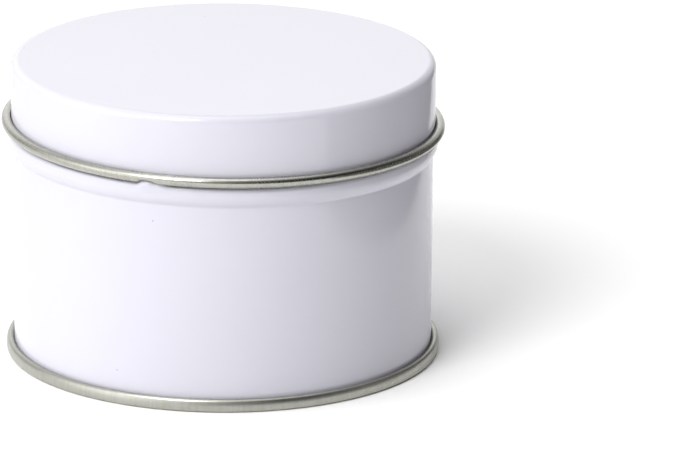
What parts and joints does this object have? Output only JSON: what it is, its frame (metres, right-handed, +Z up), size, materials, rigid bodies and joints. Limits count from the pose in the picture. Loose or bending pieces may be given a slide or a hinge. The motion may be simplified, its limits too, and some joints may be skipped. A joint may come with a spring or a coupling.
{
  "type": "round slip-lid tin",
  "caption": "Short round white-enamelled tinplate tin, shut: a slip lid with a rolled bare-metal edge, a body with a stop bead under it, and a bare-metal seamed bottom rim.",
  "frame": {"origin": "middle of the foot ring, on the surface the tin stands on, on the tin's axis", "axes": "+Z up along the tin's axis; the side shown faces -Y, and the lid's rolled edge runs about 0.7 mm lower at +X and 0.7 mm higher at -X than at its middle"},
  "size_m": [0.0866, 0.0866, 0.0587],
  "materials": {
    "lid": "smooth white stoving enamel, satin to gloss, with the rolled edge left as bare bright tinplate",
    "body": "smooth white stoving enamel, satin to gloss",
    "base_end": "bare tinplate with a fine rolled grain, slightly worn"
  },
  "bodies": {
    "root": {"lid": "lid", "body": "body", "base_end": "base_end"}
  },
  "joints": []
}
